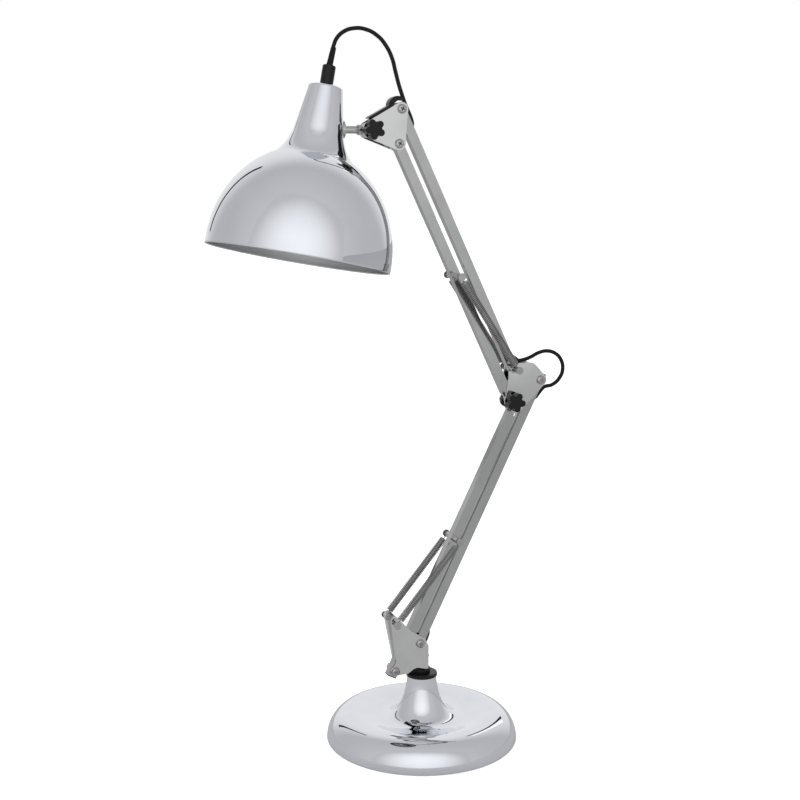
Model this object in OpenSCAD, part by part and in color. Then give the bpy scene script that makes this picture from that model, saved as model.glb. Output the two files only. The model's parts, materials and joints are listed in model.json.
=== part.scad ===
// Swing arm desk lamp: domed base, two parallelogram arms with balance springs, bell shade.
// Millimetres, +Z up. Origin: centre of the base's underside. The arms fold in the XZ plane,
// the shade hangs over -X and the elbow points to +X.

/* [Base] */
// Diameter of the domed base
base_d = 190; // [165:1:230]
// Height of the base's rounded shoulder
shoulder_h = 30; // [24:1:36]
// Width of the rounded shoulder, from the rim to its crest
shoulder_w = 25; // [20:0.5:36]
// Height of the top of the flared neck
neck_h = 66; // [56:1:80]
// Radius of the flared neck at its top
neck_r = 14.3; // [13:0.1:18]
// Wall of the spun base shell
base_wall = 1; // [0.8:0.1:2]
// Radius of the swivel disc on the neck
disc_r = 15.5; // [15:0.5:20]
// Thickness of the swivel disc
disc_t = 3.5; // [2.5:0.5:6]

/* [Arms] */
// Pivot to pivot length of the lower arm
lower_len = 287; // [230:1:350]
// Pivot to pivot length of the upper arm
upper_len = 274.5; // [220:1:340]
// Lean of the lower arm from upright, towards +X
lower_lean = 26.1; // [22:0.1:28]
// Lean of the upper arm from upright, towards -X
upper_lean = 25.3; // [22:0.1:40]
// Width of the square arm tubes
tube_w = 9.2; // [8:0.1:10]
// Wall of the arm tubes
tube_wall = 0.8; // [0.6:0.1:1.2]
// How far a plain tube end runs past its pivot
tube_end = 7; // [6:0.5:8]

/* [Brackets] */
// Thickness of the bracket plates
plate_t = 1.8; // [1.2:0.1:2.5]
// Gap between a tube and a bracket plate
side_gap = 0.5; // [0.4:0.1:1]
// Outward bend of the base plates' wings, in degrees
wing_bend = 13.4; // [8:0.2:18]

/* [Shade] */
// Diameter of the shade's rim
shade_d = 172; // [150:1:205]
// Height of the shade from rim to the neck's top edge
shade_h = 157; // [145:1:175]
// Radius of the shade's neck at its top
shade_neck_r = 16; // [15.5:0.1:18]
// Wall of the shade
shade_wall = 1; // [0.8:0.1:1.5]
// Lean of the shade's axis at rest, in degrees
shade_lean = 11.2; // [5:0.1:16]
// Turn of the shade about its stem, in degrees
shade_roll = -3.2; // [-6:0.1:6]
// Length of the stem from the tilt pivot to the neck's wall
stem_len = 26; // [22:0.5:34]
// Diameter of the stem
stem_d = 7; // [6:0.5:8]

/* [Springs and lead] */
// Outer diameter of the balance springs
spring_d = 7.6; // [6:0.1:8]
// Distance of each spring's centre line from the arm's middle plane
spring_y = 16.4; // [15.5:0.1:18]
// Wire diameter of the balance springs
wire_d = 1.1; // [0.8:0.1:1.4]
// Diameter of the lead
lead_d = 3.8; // [3:0.1:4]

/* [Fasteners] */
// Radius of a pivot screw's shank
screw_r = 2; // [1.8:0.1:2.2]
// Radius of a clamp bolt's shank
bolt_r = 2.5; // [2.3:0.1:2.7]
// Radial clearance of a running fit
fit = 0.08; // [0.05:0.01:0.1]

/* [Hidden] */
$fn = 64;

// Y of the plates' faces: the tubes run between them.
half_w = tube_w / 2;
in_y = half_w + side_gap;
out_y = in_y + plate_t;
disc_top = neck_h + disc_t;

// Pivots, as [x, z]: l = lower, u = upper, then left or right tube.
l_right = [-4, disc_top + 31.5];
l_left = l_right + [-26, -26];
anchor = l_right + [-28, 25];
lower = lower_len * [sin(lower_lean), cos(lower_lean)];
m_right = l_right + lower;
m_left = l_left + lower;
u_right = m_right + [-28.3, 12];
u_left = m_right + [-30.8, -19.7];
upper = upper_len * [-sin(upper_lean), cos(upper_lean)];
h_right = u_right + upper;
h_left = u_left + upper;
tilt = h_right + [-29.7, -19.4];

lower_pin = l_left + lower * 0.5;
upper_pin = u_left + upper * 0.5;

// Shade frame: its own z runs from the rim's centre up the neck.
stem_h = 124;
neck_foot = [23.2, 116];
cone_slope = (neck_foot[0] - shade_neck_r) / (shade_h - neck_foot[1]);
stem_r = neck_foot[0] - cone_slope * (stem_h - neck_foot[1]);
wall_pt = tilt + [-stem_len, 0];
up_shade = [sin(shade_lean), -cos(shade_lean) * sin(shade_roll),
            cos(shade_lean) * cos(shade_roll)];
across_shade = [cos(shade_lean), sin(shade_lean) * sin(shade_roll),
                -sin(shade_lean) * cos(shade_roll)];
rim = flat(wall_pt) - stem_r * across_shade - stem_h * up_shade;

// Lampholder, in the shade's frame
holder_top = shade_h - 1;
holder_mouth = 98;
thread_r = 13.5;
thread_depth = 25;

lead_sides = 8;

// ---------------------------------------------------------------- helpers

// Points of a quadratic and a cubic curve.
function quad(a, b, c, n) = [for (i = [0:n]) let (t = i / n)
    (1 - t) * (1 - t) * a + 2 * t * (1 - t) * b + t * t * c];
function cubic(a, b, c, d, n) = [for (i = [0:n]) let (t = i / n)
    pow(1 - t, 3) * a + 3 * t * pow(1 - t, 2) * b + 3 * t * t * (1 - t) * c + t * t * t * d];
function unit(v) = v / norm(v);

// A point [x, z] of the arm's plane in space, y off that plane.
function flat(p, y = 0) = len(p) == 3 ? p : [p[0], y, p[1]];

// A profile moved sideways by w, on its left as it runs.
function beside(p, w) = [for (i = [0:len(p) - 1])
    let (d = unit(p[min(i + 1, len(p) - 1)] - p[max(i - 1, 0)])) p[i] + w * [-d[1], d[0]]];
function backwards(p) = [for (i = [len(p) - 1:-1:0]) p[i]];

// Tangent points of the outline drawn round circles c with radii r, counter-clockwise.
function band(c, r) = [for (i = [0:len(c) - 1])
    let (j = (i + 1) % len(c), d = c[j] - c[i], a = atan2(d[1], d[0]),
         b = acos((r[i] - r[j]) / norm(d)), n = [cos(a - b), sin(a - b)])
    each [c[i] + r[i] * n, c[j] + r[j] * n]];

module outline(c, r) {
    polygon(band(c, r));
    for (i = [0:len(c) - 1])
        translate(c[i]) circle(r[i]);
}

// A flat shape drawn in XZ, from y0 to y1.
module slab(y0, y1) {
    translate([0, y1, 0]) rotate([90, 0, 0]) linear_extrude(y1 - y0) children();
}

// A cylinder along Y at the pivot p = [x, z].
module across(p, r, y0, y1, sides = 64) {
    translate([p[0], y1, p[1]]) rotate([90, 0, 0]) cylinder(r = r, h = y1 - y0, $fn = sides);
}

module at_rear() {
    mirror([0, 1, 0]) children();
}

// Local frame on a pivot, with its own z along the direction d = [x, z].
module along(p, d) {
    translate([p[0], 0, p[1]]) rotate([0, atan2(d[0], d[1]), 0]) children();
}

// A round lead swept along the points c.
module lead(c, d = lead_d) {
    p = [for (q = c) flat(q)];
    n = len(p);
    k = lead_sides;
    rings = [for (i = [0:n - 1])
        let (t = unit(p[min(i + 1, n - 1)] - p[max(i - 1, 0)]),
             m = unit(cross(t, [0, 1, 0])), b = cross(m, t))
        for (j = [0:k - 1]) let (a = 360 * j / k)
        p[i] + d / 2 * (cos(a) * m + sin(a) * b)];
    sides = [for (i = [0:n - 2], j = [0:k - 1]) let (e = (j + 1) % k)
        [i * k + j, (i + 1) * k + j, (i + 1) * k + e, i * k + e]];
    polyhedron(rings, concat([[for (j = [0:k - 1]) j]], sides,
                             [[for (j = [k - 1:-1:0]) (n - 1) * k + j]]));
}

// Points of a smooth curve through the corners c, three to each span.
function through(c) = [for (i = [0:len(c) - 2], s = [0:2]) let (t = s / 3,
    a = c[max(i - 1, 0)], b = c[i], e = c[i + 1], f = c[min(i + 2, len(c) - 1)])
    0.5 * (2 * b + (e - a) * t + (2 * a - 5 * b + 4 * e - f) * t * t
           + (3 * b - a - 3 * e + f) * t * t * t)];
function route(c) = concat(through(c), [c[len(c) - 1]]);

// ---------------------------------------------------------------- base

base_r = base_d / 2;
shoulder_r = base_r - shoulder_w;
dish_h = shoulder_h - 5.8;
dish_r = neck_r + 27.7;
base_outer = concat(
    [[base_r - 3.6, 1], [base_r - 1.5, 1.3], [base_r - 0.5, 2]],
    [for (a = [0:7.5:90])
        [shoulder_r + (base_r - shoulder_r) * cos(a), 3 + (shoulder_h - 3) * sin(a)]],
    [for (q = cubic([shoulder_r, shoulder_h], [shoulder_r - 8, shoulder_h],
                    [dish_r + 8, dish_h + 0.3], [dish_r, dish_h], 8))
        if (q[0] < shoulder_r) q],
    [for (q = quad([dish_r, dish_h], [neck_r + 3.7, dish_h + 0.2],
                   [neck_r, neck_h], 12)) if (q[0] < dish_r) q]);
base_inner = beside(base_outer, base_wall);
post_r = 6;
weight_r = 68;
weight_hole = 26;
weight_top = dish_h - base_wall - 1.5;

module base_shell() {
    color("gainsboro") difference() {
        rotate_extrude($fn = 128) union() {
            polygon(concat(base_outer, backwards(base_inner)));
            translate([post_r, neck_h - base_wall])
                square([neck_r - post_r - base_wall / 2, base_wall]);
        }
        outlet_hole(outlet_r);
    }
}

outlet_r = 5;
outlet_z = 8.5;
outlet_flange = 6.5;

module outlet_hole(r) {
    translate([0, base_r - 14, outlet_z]) rotate([-90, 0, 0]) cylinder(r = r, h = 20);
}

module lead_outlet() {
    color("black") difference() {
        translate([0, base_r - 8, outlet_z]) rotate([-90, 0, 0]) {
            cylinder(r = outlet_r, h = 8.6);
            translate([0, 0, 8]) cylinder(r = outlet_flange, h = 1.2);
            translate([0, 0, 0]) cylinder(r = outlet_flange, h = 1.6);
        }
        translate([0, base_r - 12, outlet_z]) rotate([-90, 0, 0]) cylinder(r = 3, h = 20);
    }
}

module base_weight() {
    color("dimgray") translate([0, 0, 2]) difference() {
        union() {
            cylinder(r = weight_r, h = weight_top - 2, $fn = 128);
            cylinder(r = 12, h = weight_top + 2);
        }
        difference() {
            translate([0, 0, 4]) cylinder(r = weight_hole, h = 60);
            cylinder(r = 12, h = 60);
        }
        translate([0, 0, -1]) cylinder(r = post_r, h = 80);
    }
}

module base_pad() {
    color("black") {
        cylinder(r = base_r - 3.8, h = 1, $fn = 128);
        cylinder(r = base_r - 5.4, h = 2, $fn = 128);
    }
}

module base_post() {
    color("silver") translate([0, 0, 2]) difference() {
        cylinder(r = post_r, h = neck_h - 2);
        translate([0, 0, -1]) cylinder(r = spindle_r + fit, h = neck_h + 2);
    }
}

module swivel_disc() {
    color("black") translate([0, 0, neck_h]) difference() {
        union() {
            cylinder(r = disc_r, h = disc_t - 0.6);
            cylinder(r1 = disc_r, r2 = disc_r - 0.6, h = disc_t);
        }
        translate([0, 0, -1]) cylinder(r = spindle_r + fit, h = disc_t + 2);
    }
}

// ---------------------------------------------------------------- swivel and base bracket

spindle_r = 4;
block_z = disc_top + 0.3;
block_top = l_right[1] - tube_end - 5;

module swivel_spindle() {
    color("silver") difference() {
        translate([0, 0, neck_h - 34]) cylinder(r = spindle_r, h = block_z + 4 - neck_h + 34);
        translate([0, 0, neck_h - 40]) cylinder(r = lead_d / 2 + 0.3, h = 80);
    }
}

module swivel_block() {
    color("black") difference() {
        union() {
            slab(-in_y, in_y) union() {
                translate([-13, block_z]) square([17.8, block_top - block_z - 3]);
                translate([-10, block_top - 4]) square([14.8, 4]);
                translate([-10, block_top - 3]) circle(3);
                translate([4.2, block_top - 1.8]) circle(1.8);
            }
            translate([0, 0, block_z]) cylinder(r = 8.5, h = 4);
        }
        translate([0, 0, block_z - 1]) cylinder(r = spindle_r, h = 5);
        translate([0, 0, block_z - 1]) cylinder(r = lead_d / 2 + 0.3, h = 60);
        translate([0, 0, block_top - 8]) cylinder(r1 = lead_d / 2 + 0.3, r2 = 4.2, h = 8.1);
    }
}

// Base plates: a flat part, and a wing bent outwards to meet the springs.
fold_low = l_left + [1, 9];
fold_high = l_right + [-10.6, 14.6];
arch = l_left + [18, 1.5];

module base_flat() {
    difference() {
        union() {
            polygon([l_left + [0, -4.4], l_left + [13, -3.8], arch + [1, -1.2], arch + [5, 0],
                     arch + [9, -1.2], [2.6, l_left[1] - 1], [4.8, l_left[1] + 1.2],
                     [4.8, l_right[1] - 3], l_right + [4.1, 5], fold_high, fold_low,
                     l_left + [-2, 4]]);
            translate(l_left) circle(4.6);
            translate(l_right) circle(6.5);
            translate([2.6, l_left[1] + 1.2]) circle(2.2);
        }
        translate(l_left) circle(screw_r);
        translate(l_right) circle(screw_r);
    }
}

wing_tip = anchor + [-0.6, 2.6];

module base_wing() {
    difference() {
        union() {
            polygon([fold_low, fold_high, wing_tip + [2.9, 3], wing_tip + [-4.2, 0]]);
            translate(wing_tip) circle(4.2);
        }
        translate(anchor) circle(screw_r);
    }
}

module base_plate() {
    fold = unit(fold_high - fold_low);
    mid = -(in_y + out_y) / 2;
    slab(-out_y, -in_y) base_flat();
    translate([fold_low[0], mid, fold_low[1]]) {
        rotate([0, atan2(fold[0], fold[1]), 0])
            cylinder(r = plate_t / 2 - 0.06, h = norm(fold_high - fold_low));
        rotate(a = wing_bend, v = [fold[0], 0, fold[1]])
            translate([-fold_low[0], 0, -fold_low[1]]) slab(-plate_t / 2, plate_t / 2) base_wing();
    }
}

module base_plate_front() {
    color("gainsboro") base_plate();
}

module base_plate_rear() {
    color("gainsboro") at_rear() base_plate();
}

// Pan head screw through both plates, its head to the front.
module pivot_screw(p) {
    difference() {
        union() {
            across(p, screw_r, -out_y, out_y + 4);
            across(p, 4.6, -out_y - 0.8, -out_y);
            across(p, 3.9, -out_y - 2, -out_y - 0.8);
            translate([p[0], -out_y - 2, p[1]]) rotate([90, 0, 0])
                cylinder(r1 = 3.9, r2 = 2.6, h = 0.8);
        }
        for (a = [25, 115])
            translate([p[0], -out_y - 2.4, p[1]]) rotate([0, a, 0])
                cube([4.2, 2, 0.9], center = true);
    }
}

module pivot_nut(p) {
    difference() {
        across(p, 4.1, out_y, out_y + 3.2, 6);
        across(p, screw_r, out_y - 1, out_y + 5);
    }
}

module base_screws() {
    color("silver") for (p = [l_left, l_right]) pivot_screw(p);
}

module base_nuts() {
    color("silver") for (p = [l_left, l_right]) pivot_nut(p);
}

// Headed rivets on the wings that the lower springs hook on.
pin_end = spring_y + 2.2;
wing_y = out_y - plate_t / 2 + norm(anchor - fold_low) * sin(wing_bend) * 0.55;

module anchor_rivet() {
    across(anchor, screw_r, -pin_end - 0.8, -wing_y + plate_t * 0.8 + 0.6);
    across(anchor, 3.7, -pin_end - 1.6, -pin_end);
    across(anchor, 3.2, -wing_y + plate_t * 0.8, -wing_y + plate_t * 0.8 + 1.2);
}

module base_spring_anchors() {
    color("silver") {
        anchor_rivet();
        at_rear() anchor_rivet();
    }
}

// ---------------------------------------------------------------- arm tubes

slot_len = 12.5;
slot_w = lead_d + 0.8;

// Square tube from z0 to z1 in its own frame, with bores across at the heights given.
module tube(z0, z1) {
    difference() {
        translate([-half_w, -half_w, z0]) cube([tube_w, tube_w, z1 - z0]);
        translate([-half_w + tube_wall, -half_w + tube_wall, z0 - 1])
            cube([tube_w - 2 * tube_wall, tube_w - 2 * tube_wall, z1 - z0 + 2]);
    }
}

// Bore across a tube at height z in its own frame.
module bore(z, r) {
    translate([0, half_w + 5, z]) rotate([90, 0, 0]) cylinder(r = r, h = tube_w + 10);
}

// Long hole for the lead in the tube's +X wall, centred at height z.
module lead_slot(z) {
    translate([0, 0, z]) rotate([0, 90, 0]) {
        for (s = [-1, 1])
            translate([s * (slot_len - slot_w) / 2, 0, 0]) cylinder(r = slot_w / 2, h = 10);
        translate([-(slot_len - slot_w) / 2, -slot_w / 2, 0])
            cube([slot_len - slot_w, slot_w, 10]);
    }
}

// Half-lap end of a tube: a round-ended tongue on one side of the middle plane.
lap_start = 9;

module lap_tongue(side) {
    y0 = side > 0 ? 0.3 : -half_w;
    translate([0, y0 + half_w - 0.3, 0]) rotate([90, 0, 0])
        linear_extrude(half_w - 0.3) difference() {
            union() {
                translate([-half_w, -lap_start]) square([tube_w, lap_start]);
                circle(half_w);
            }
            circle(screw_r + fit);
        }
}

// Closed plug in a tube's end, from height z outwards along s.
module end_cap(z, s) {
    w = tube_w - 2 * tube_wall;
    translate([-half_w, -half_w, s > 0 ? z : z - 1]) cube([tube_w, tube_w, 1]);
    translate([-w / 2, -w / 2, s > 0 ? z - 1.5 : z]) cube([w, w, 1.5]);
}

module lower_tube_left() {
    color("silver") along(l_left, lower) {
        difference() {
            tube(-tube_end + 1, lower_len - lap_start);
            bore(0, screw_r + fit);
            bore(lower_len * 0.5, screw_r);
        }
        translate([0, 0, lower_len]) lap_tongue(1);
    }
}

module lower_tube_left_cap() {
    color("black") along(l_left, lower) end_cap(-tube_end + 1, -1);
}

module lower_tube_right() {
    color("silver") along(l_right, lower) difference() {
        tube(-tube_end + 1, lower_len + tube_end - 1);
        bore(0, screw_r + fit);
        bore(lower_len, screw_r + fit);
        lead_slot(14.5);
        lead_slot(lower_len - 19.5);
    }
}

module lower_tube_right_caps() {
    color("black") along(l_right, lower) {
        end_cap(-tube_end + 1, -1);
        end_cap(lower_len + tube_end - 1, 1);
    }
}

module upper_tube_left() {
    color("silver") along(u_left, upper) {
        difference() {
            tube(lap_start, upper_len + tube_end - 1);
            bore(upper_len * 0.5, screw_r);
            bore(upper_len, screw_r + fit);
        }
        rotate([0, 180, 0]) lap_eye();
    }
}

// Tongue of the upper left tube, bored for the clamp bolt.
module lap_eye() {
    translate([0, -0.3, 0]) rotate([90, 0, 0]) linear_extrude(half_w - 0.3) difference() {
        union() {
            translate([-half_w, -lap_start]) square([tube_w, lap_start]);
            circle(half_w);
        }
        circle(bolt_r + fit);
    }
}

module upper_tube_left_cap() {
    color("black") along(u_left, upper) end_cap(upper_len + tube_end - 1, 1);
}

module upper_tube_right() {
    color("silver") along(u_right, upper) difference() {
        tube(-tube_end + 1, upper_len + tube_end - 2.5);
        bore(0, screw_r + fit);
        bore(upper_len, screw_r + fit);
        lead_slot(13);
        lead_slot(upper_len - 19.5);
    }
}

module upper_tube_right_caps() {
    color("black") along(u_right, upper) {
        end_cap(-tube_end + 1, -1);
        end_cap(upper_len + tube_end - 2.5, 1);
    }
}

// ---------------------------------------------------------------- spring pins and springs

// Headed pin across a tube, with a sleeve on each side.
module spring_pin(p) {
    across(p, screw_r, -pin_end, pin_end);
    for (s = [0, 1]) mirror([0, s, 0]) {
        across(p, 3.7, -pin_end - 1.6, -pin_end);
        across(p, 3, -spring_y + 2.2, -half_w);
    }
}

module lower_spring_pin() {
    color("silver") spring_pin(lower_pin);
}

module upper_spring_pin() {
    color("silver") spring_pin(upper_pin);
}

// Extension spring from pin a to pin b: close coils with a hook ring round each pin.
hook_r = screw_r + wire_d / 2 + 0.15;
coil_gap = 6.5;

module hook() {
    rotate([90, 0, 0]) rotate_extrude() translate([hook_r, 0]) circle(wire_d / 2, $fn = 24);
    translate([0, 0, hook_r]) cylinder(r = wire_d / 2, h = coil_gap - hook_r + 0.5, $fn = 24);
}

module spring(a, b) {
    n = norm(b - a);
    for (s = [-1, 1])
        translate([0, s * spring_y, 0]) along(a, b - a) {
            translate([0, 0, coil_gap]) difference() {
                cylinder(d = spring_d, h = n - 2 * coil_gap);
                translate([0, 0, 1]) cylinder(d = spring_d - 2 * wire_d, h = n - 2 * coil_gap - 2);
            }
            hook();
            translate([0, 0, n]) rotate([0, 180, 0]) hook();
        }
}

module lower_springs() {
    color("darkgray") spring(anchor, lower_pin);
}

module upper_springs() {
    color("darkgray") spring(u_right, upper_pin);
}

// ---------------------------------------------------------------- elbow bracket

crown = u_right + [16.5, -3.2];

module elbow_plate() {
    slab(-out_y, -in_y) difference() {
        union() {
            outline([m_left, m_right, crown, u_right, u_left], [6.3, 6.3, 9, 5.6, 6.2]);
            translate(u_left) circle(7.6);
        }
        for (p = [m_left, m_right, u_right])
            translate(p) circle(screw_r);
        translate(u_left) circle(bolt_r + fit);
    }
}

module elbow_plate_front() {
    color("gainsboro") elbow_plate();
}

module elbow_plate_rear() {
    color("gainsboro") at_rear() elbow_plate();
}

module elbow_screws() {
    color("silver") for (p = [m_left, m_right]) pivot_screw(p);
}

module elbow_nuts() {
    color("silver") for (p = [m_left, m_right]) pivot_nut(p);
}

// The right tube's pivot is a long pin that also carries the upper springs.
module elbow_spring_pin() {
    color("silver") {
        across(u_right, screw_r, -pin_end, pin_end);
        for (s = [0, 1]) mirror([0, s, 0]) {
            across(u_right, 3.7, -pin_end - 1.6, -pin_end);
            across(u_right, 4.2, -out_y - 2, -out_y, 6);
        }
    }
}

// ---------------------------------------------------------------- clamp knobs

knob_y = 2.9;
knob_t = 9.5;
lobes = 5;

// Lobed knob in front of the plates, with a slim collar down to them.
module knob(p, turn) {
    difference() {
        translate([p[0], -out_y, p[1]]) rotate([90, turn, 0]) {
            cylinder(r = 3.1, h = knob_y);
            translate([0, 0, knob_y]) linear_extrude(knob_t) {
                circle(6.4);
                for (i = [0:lobes - 1]) rotate(360 / lobes * i)
                    translate([6.4, 0]) circle(3.2);
            }
        }
        across(p, bolt_r, -out_y - knob_y - 6, out_y);
    }
}

collar_y = 3.5;
nut_t = 4;

module clamp_bolt(p) {
    across(p, bolt_r, -out_y - knob_y - 6, out_y + collar_y + nut_t + 1);
}

// Hexagon nut on a slim collar, which clears the pivot nut beside it.
module clamp_nut(p) {
    difference() {
        union() {
            across(p, 3.3, out_y, out_y + collar_y);
            across(p, 5, out_y + collar_y, out_y + collar_y + nut_t, 6);
        }
        across(p, bolt_r + fit, out_y - 1, out_y + collar_y + nut_t + 1);
    }
}

module elbow_knob() {
    color("black") knob(u_left, 10);
}

module elbow_bolt() {
    color("silver") clamp_bolt(u_left);
}

module elbow_bolt_nut() {
    color("silver") clamp_nut(u_left);
}

module head_knob() {
    color("black") knob(tilt, 28);
}

module head_bolt() {
    color("silver") clamp_bolt(tilt);
}

module head_bolt_nut() {
    color("silver") clamp_nut(tilt);
}

// ---------------------------------------------------------------- head bracket

module head_plate() {
    slab(-out_y, -in_y) difference() {
        outline([tilt, h_left, h_right], [8.3, 6.3, 6.3]);
        for (p = [h_left, h_right])
            translate(p) circle(screw_r);
        translate(tilt) circle(bolt_r + fit);
    }
}

module head_plate_front() {
    color("gainsboro") head_plate();
}

module head_plate_rear() {
    color("gainsboro") at_rear() head_plate();
}

// Moulded guide between the plates: a strip along their upper edge that ends in a hood
// over the tube's end, where the lead turns up to the shade.
guide_edge = unit(h_right - tilt);
guide_side = [-guide_edge[1], guide_edge[0]];
hood = h_right + [-3.2, 3];

module head_guide() {
    color("black") slab(-in_y, in_y) difference() {
        union() {
            polygon([tilt + 11.5 * guide_edge + 5.2 * guide_side,
                     h_right - 4 * guide_edge + 3 * guide_side,
                     h_right - 2 * guide_edge + 8.6 * guide_side,
                     tilt + 5 * guide_edge + 10.6 * guide_side,
                     tilt + 4 * guide_edge + 9.8 * guide_side]);
            translate(hood) circle(8.8);
        }
        translate(h_right) circle(8.2);
        translate(h_right) rotate(-100) square([20, 20]);
        translate(tilt) circle(8.6);
        translate(h_right + [2.6, -12]) square([20, 40]);
    }
}

module head_screws() {
    color("silver") for (p = [h_left, h_right]) pivot_screw(p);
}

module head_nuts() {
    color("silver") for (p = [h_left, h_right]) pivot_nut(p);
}

// ---------------------------------------------------------------- shade

// Places the shade's own frame: z up the axis from the rim's centre.
module on_shade() {
    translate(flat(wall_pt)) rotate([shade_roll, 0, 0]) rotate([0, shade_lean, 0])
        translate([-stem_r, 0, -stem_h]) children();
}

shade_r = shade_d / 2;
dome_base = 5;
dome_rise = 97.5;
crease_a = 64.2;
crease = [shade_r * cos(crease_a), dome_base + dome_rise * sin(crease_a)];
shade_outer = concat(
    [[shade_r - 0.2, 0], [shade_r, 2]],
    [for (i = [0:16]) let (a = crease_a * i / 16)
        [shade_r * cos(a), dome_base + dome_rise * sin(a)]],
    [for (q = quad(crease, [neck_foot[0] + 5.1, crease[1] + 6.2], neck_foot, 10))
        if (q[1] > crease[1]) q],
    [[shade_neck_r, shade_h], [shade_neck_r - 0.5, shade_h + 1.2],
     [shade_neck_r - 2, shade_h + 2.2], [10, shade_h + 3.2], [6, shade_h + 3.6]]);
shade_inner = beside(shade_outer, shade_wall);
gland_z = shade_h + 3.6;
nipple_r = 5;

module shade_shell() {
    color("gainsboro") difference() {
        on_shade() rotate_extrude($fn = 128)
            difference() {
                polygon(concat(shade_outer, backwards(shade_inner)));
                translate([-1, shade_h - 10]) square([nipple_r + 1, 30]);
            }
        translate([wall_pt[0] - 8, 0, wall_pt[1]]) rotate([0, 90, 0])
            cylinder(r = stem_d / 2 - 1, h = 20);
    }
}

module lampholder() {
    color("black") on_shade() difference() {
        union() {
            translate([0, 0, holder_mouth]) cylinder(r = 17.4, h = 20);
            translate([0, 0, holder_mouth]) cylinder(r = 18.4, h = 3);
            translate([0, 0, holder_mouth + 20]) cylinder(r1 = 17.4, r2 = 13, h = 6);
            translate([0, 0, holder_mouth + 26]) cylinder(r = 13, h = holder_top - holder_mouth - 26);
            cylinder(r = nipple_r, h = gland_z);
        }
        translate([0, 0, -1]) cylinder(r = thread_r, h = holder_mouth + thread_depth + 1);
        translate([0, 0, holder_mouth]) cylinder(r = lead_d / 2 + 0.4, h = 100);
    }
}

module lead_gland() {
    color("black") on_shade() translate([0, 0, gland_z]) difference() {
        union() {
            cylinder(r = 6.1, h = 17);
            cylinder(r1 = 6.1, r2 = 5.5, h = 17.6);
        }
        translate([0, 0, -1]) cylinder(r = lead_d / 2 + 0.9, h = 30);
    }
}

// Stem from the tilt pivot to the neck's wall: an eye between the plates and a round rod.
module shade_stem() {
    color("silver") difference() {
        union() {
            across(tilt, 7.2, -in_y + 0.35, in_y - 0.35);
            translate([tilt[0] - stem_len - 6, 0, tilt[1]]) rotate([0, 90, 0])
                cylinder(d = stem_d - 2, h = 20);
            translate([tilt[0] - stem_len + 1.2, 0, tilt[1]]) rotate([0, 90, 0])
                cylinder(d = stem_d, h = stem_len - 6);
            translate([tilt[0] - 11.5, 0, tilt[1]]) rotate([0, 90, 0])
                cylinder(d = stem_d + 2.6, h = 2.4);
        }
        across(tilt, bolt_r + fit, -20, 20);
    }
}

// Concave washer between the stem and the neck
module stem_flange() {
    color("silver") difference() {
        translate([wall_pt[0] - 2, 0, wall_pt[1]]) rotate([0, 90, 0]) cylinder(r = 8.2, h = 3.2);
        translate([wall_pt[0] - 10, 0, wall_pt[1]]) rotate([0, 90, 0])
            cylinder(r = stem_d / 2 - 1, h = 20);
        on_shade() translate([0, 0, neck_foot[1] - 20])
            cylinder(r1 = neck_foot[0] + 20 * cone_slope,
                     r2 = neck_foot[0] - 60 * cone_slope, h = 80, $fn = 128);
    }
}

// Hexagon nut on the stem's end, inside the neck
module stem_nut() {
    color("silver") difference() {
        translate([wall_pt[0] - 4.2, 0, wall_pt[1]]) rotate([0, 90, 0])
            cylinder(r = 4.6, h = 3, $fn = 6);
        translate([wall_pt[0] - 10, 0, wall_pt[1]]) rotate([0, 90, 0])
            cylinder(r = stem_d / 2 - 1, h = 20);
        on_shade() translate([0, 0, neck_foot[1] - 20]) difference() {
            cylinder(r = 60, h = 80);
            cylinder(r1 = neck_foot[0] + 20 * cone_slope - shade_wall * 1.04,
                     r2 = neck_foot[0] - 60 * cone_slope - shade_wall * 1.04, h = 80,
                     $fn = 128);
        }
    }
}

// ---------------------------------------------------------------- lead

side = half_w + lead_d / 2 + 0.2;

// A point beside a tube: t along it from pivot p, and s off its centre line.
function by_tube(p, d, t, s) = p + t * unit(d) + s * [unit(d)[1], -unit(d)[0]];

gland_top = rim + (gland_z + 17.6) * up_shade;
sleeve_mid = gland_top + 8 * up_shade;
sleeve_end = gland_top + 17 * up_shade + [0.6, 0, 0];
sleeve_out = unit(sleeve_end - sleeve_mid);

base_route = [by_tube(l_right, lower, 17, 1.5), by_tube(l_right, lower, 13, side - 1.2),
              by_tube(l_right, lower, 8, side), by_tube(l_right, lower, 0, side + 0.2),
              l_right + [4.4, -7], [1.5, block_top + 1.5], [0, block_top - 3],
              [0, block_z + 2], [0, neck_h - 28]];
elbow_route = [by_tube(m_right, lower, -23, 1.5), by_tube(m_right, lower, -18, side - 1),
               by_tube(m_right, lower, -11, side + 1), m_right + [7, -8.5], m_right + [16, -6.5],
               m_right + [24, 0], m_right + [27.4, 9], m_right + [25, 18.5],
               m_right + [18.5, 25], m_right + [10, 27.6], m_right + [1, 26.4],
               m_right + [-8, 22.4], m_right + [-15.5, 20], m_right + [-21.5, 19.2]];
elbow_tail = [m_right + [-21.5, 19.2], by_tube(u_right, upper, 9.5, side - 0.6),
              by_tube(u_right, upper, 14, 2.8), by_tube(u_right, upper, 18, 0.5)];
head_tail = [by_tube(h_right, upper, -23, 1), by_tube(h_right, upper, -18, side - 1.4),
             by_tube(h_right, upper, -12, side), by_tube(h_right, upper, -4, side + 0.2),
             h_right + [5.6, 4.4]];
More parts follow.
